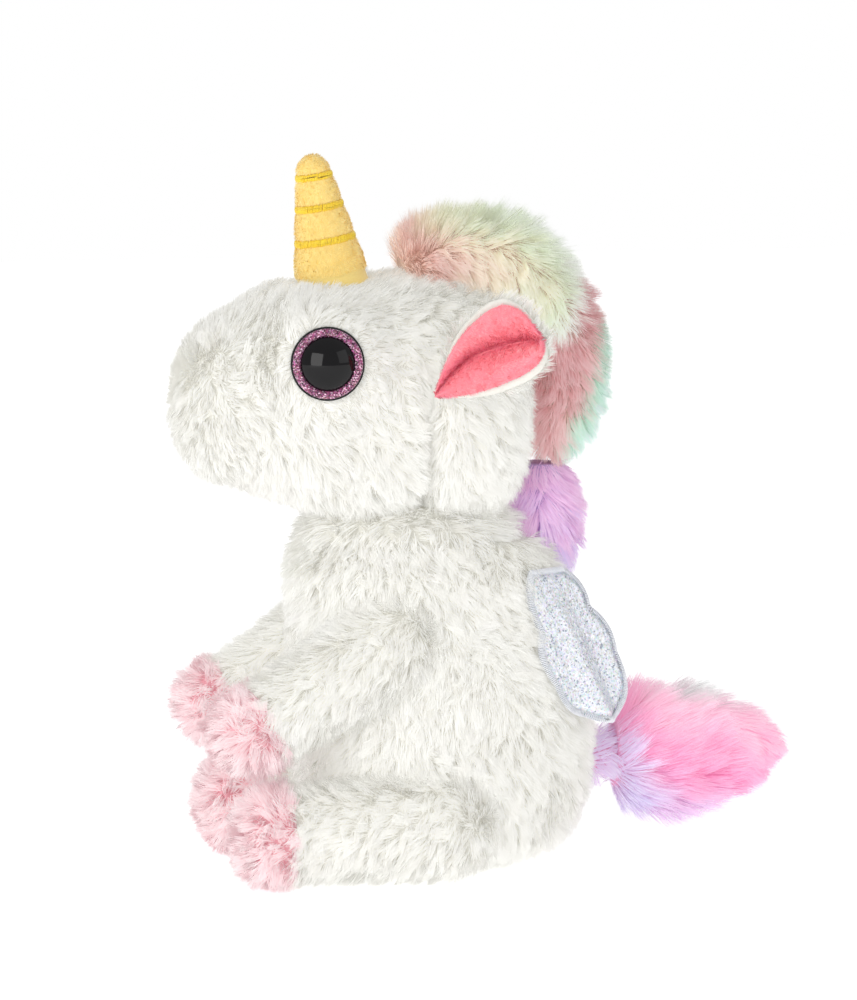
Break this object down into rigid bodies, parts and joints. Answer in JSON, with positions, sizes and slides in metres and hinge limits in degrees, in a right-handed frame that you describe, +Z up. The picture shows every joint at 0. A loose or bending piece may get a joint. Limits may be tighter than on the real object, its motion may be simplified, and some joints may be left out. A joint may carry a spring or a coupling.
{
  "type": "plush unicorn",
  "caption": "Sitting plush unicorn with a stuffed horn, rainbow mane and tail, glitter wings, safety eyes and limbs that flex at their seams.",
  "frame": {"origin": "middle of the flat seat", "axes": "the toy faces -Y, +Z is up, +X is the toy's own left"},
  "size_m": [0.1496, 0.2281, 0.2503],
  "materials": {
    "white_fur": "long soft off-white pile",
    "pink_fur": "curly pale pink pile",
    "ear_velour": "short coral pink velour",
    "horn_velour": "short pale yellow velour",
    "gold_thread": "satin stitched golden yarn",
    "rainbow_fur": "long pile dyed peach, rose, cream, green and blue",
    "lilac_fur": "long pile dyed orchid to lavender",
    "tail_fur": "long pile dyed mint, pink, magenta and lavender",
    "glitter_cloth": "silver holographic glitter cloth",
    "lining_cloth": "thin woven lining",
    "stuffing": "polyester fibre fill",
    "pellets": "loose plastic pellets",
    "black_plastic": "moulded black plastic",
    "glitter_resin": "clear resin over mauve glitter",
    "pupil_gloss": "polished black dome",
    "washer_plastic": "natural nylon"
  },
  "bodies": {
    "torso": {"body_cover": "white_fur", "body_stuffing": "stuffing", "bean_bag_pouch": "lining_cloth", "bean_bag_pellets": "pellets"},
    "neck": {"neck_stuffing": "stuffing"},
    "head": {"face_cover": "white_fur", "back_head_cover": "white_fur", "head_stuffing": "stuffing", "horn_cover": "horn_velour", "horn_stuffing": "stuffing", "horn_band_lower": "gold_thread", "horn_band_middle": "gold_thread", "horn_band_upper": "gold_thread", "mane_cover": "rainbow_fur", "mane_stuffing": "stuffing", "eye_base_left": "black_plastic", "eye_base_right": "black_plastic", "eye_glitter_ring_left": "glitter_resin", "eye_glitter_ring_right": "glitter_resin", "eye_pupil_left": "pupil_gloss", "eye_pupil_right": "pupil_gloss", "eye_washer_left": "washer_plastic", "eye_washer_right": "washer_plastic"},
    "lock": {"mane_lock": "lilac_fur"},
    "tail_base": {"tail_root": "tail_fur"},
    "tail": {"tail_cover": "tail_fur", "tail_stuffing": "stuffing"},
    "ear_left": {"ear_outer_left": "white_fur", "ear_inner_left": "ear_velour"},
    "front_leg_left": {"front_leg_cover_left": "white_fur", "front_hoof_left": "pink_fur", "front_leg_stuffing_left": "stuffing"},
    "hind_leg_left": {"hind_leg_cover_left": "white_fur", "hind_hoof_left": "pink_fur", "hind_leg_stuffing_left": "stuffing"},
    "wing_left": {"wing_backing_left": "glitter_cloth", "wing_wadding_left": "stuffing", "wing_glitter_left": "glitter_cloth"},
    "ear_right": {"ear_outer_right": "white_fur", "ear_inner_right": "ear_velour"},
    "front_leg_right": {"front_leg_cover_right": "white_fur", "front_hoof_right": "pink_fur", "front_leg_stuffing_right": "stuffing"},
    "hind_leg_right": {"hind_leg_cover_right": "white_fur", "hind_hoof_right": "pink_fur", "hind_leg_stuffing_right": "stuffing"},
    "wing_right": {"wing_backing_right": "glitter_cloth", "wing_wadding_right": "stuffing", "wing_glitter_right": "glitter_cloth"}
  },
  "joints": [
    {"name": "neck_turn", "type": "hinge", "parent": "torso", "child": "neck", "pos_m": [0, -0.01188, 0.115], "axis": [0, 0, 1], "range_deg": [-25, 25], "stiffness_Nm_per_rad": 1.2},
    {"name": "neck_nod", "type": "hinge", "parent": "neck", "child": "head", "pos_m": [0, -0.01188, 0.115], "axis": [1, 0, 0], "range_deg": [-6, 8], "stiffness_Nm_per_rad": 2},
    {"name": "mane_lock_swing", "type": "hinge", "parent": "head", "child": "lock", "pos_m": [0, 0.039, 0.1345], "axis": [1, 0, 0], "range_deg": [-2, 25], "stiffness_Nm_per_rad": 0.02},
    {"name": "ear_left_fold", "type": "hinge", "parent": "head", "child": "ear_left", "pos_m": [0.0515, -0.012, 0.172], "axis": [-0.2173, -0.4208, 0.8807], "range_deg": [-15, 20], "stiffness_Nm_per_rad": 0.03},
    {"name": "front_leg_left_lift", "type": "hinge", "parent": "torso", "child": "front_leg_left", "pos_m": [0.031, -0.024, 0.08288], "axis": [-1, 0, 0], "range_deg": [-2, 30], "stiffness_Nm_per_rad": 0.35},
    {"name": "hind_leg_left_splay", "type": "hinge", "parent": "torso", "child": "hind_leg_left", "pos_m": [0.034, -0.008, 0.0213], "axis": [0, 0, 1], "range_deg": [0, 20], "stiffness_Nm_per_rad": 0.35},
    {"name": "wing_left_flap", "type": "hinge", "parent": "torso", "child": "wing_left", "pos_m": [0.027, 0.02932, 0.09996], "axis": [0.4695, -0.8829, 0], "range_deg": [0, 60], "stiffness_Nm_per_rad": 0.03},
    {"name": "ear_right_fold", "type": "hinge", "parent": "head", "child": "ear_right", "pos_m": [-0.0515, -0.012, 0.172], "axis": [-0.2173, 0.4208, -0.8807], "range_deg": [-15, 20], "stiffness_Nm_per_rad": 0.03},
    {"name": "front_leg_right_lift", "type": "hinge", "parent": "torso", "child": "front_leg_right", "pos_m": [-0.031, -0.024, 0.08288], "axis": [-1, 0, 0], "range_deg": [-2, 30], "stiffness_Nm_per_rad": 0.35},
    {"name": "hind_leg_right_splay", "type": "hinge", "parent": "torso", "child": "hind_leg_right", "pos_m": [-0.034, -0.008, 0.0213], "axis": [0, 0, -1], "range_deg": [0, 20], "stiffness_Nm_per_rad": 0.35},
    {"name": "wing_right_flap", "type": "hinge", "parent": "torso", "child": "wing_right", "pos_m": [-0.027, 0.02932, 0.09996], "axis": [0.4695, 0.8829, 0], "range_deg": [0, 60], "stiffness_Nm_per_rad": 0.03},
    {"name": "tail_swing", "type": "hinge", "parent": "torso", "child": "tail_base", "pos_m": [0, 0.05568, 0.036], "axis": [0, 0, 1], "range_deg": [-22, 22], "stiffness_Nm_per_rad": 0.12},
    {"name": "tail_lift", "type": "hinge", "parent": "tail_base", "child": "tail", "pos_m": [0, 0.05568, 0.036], "axis": [1, 0, 0], "range_deg": [-8, 22], "stiffness_Nm_per_rad": 0.15}
  ]
}
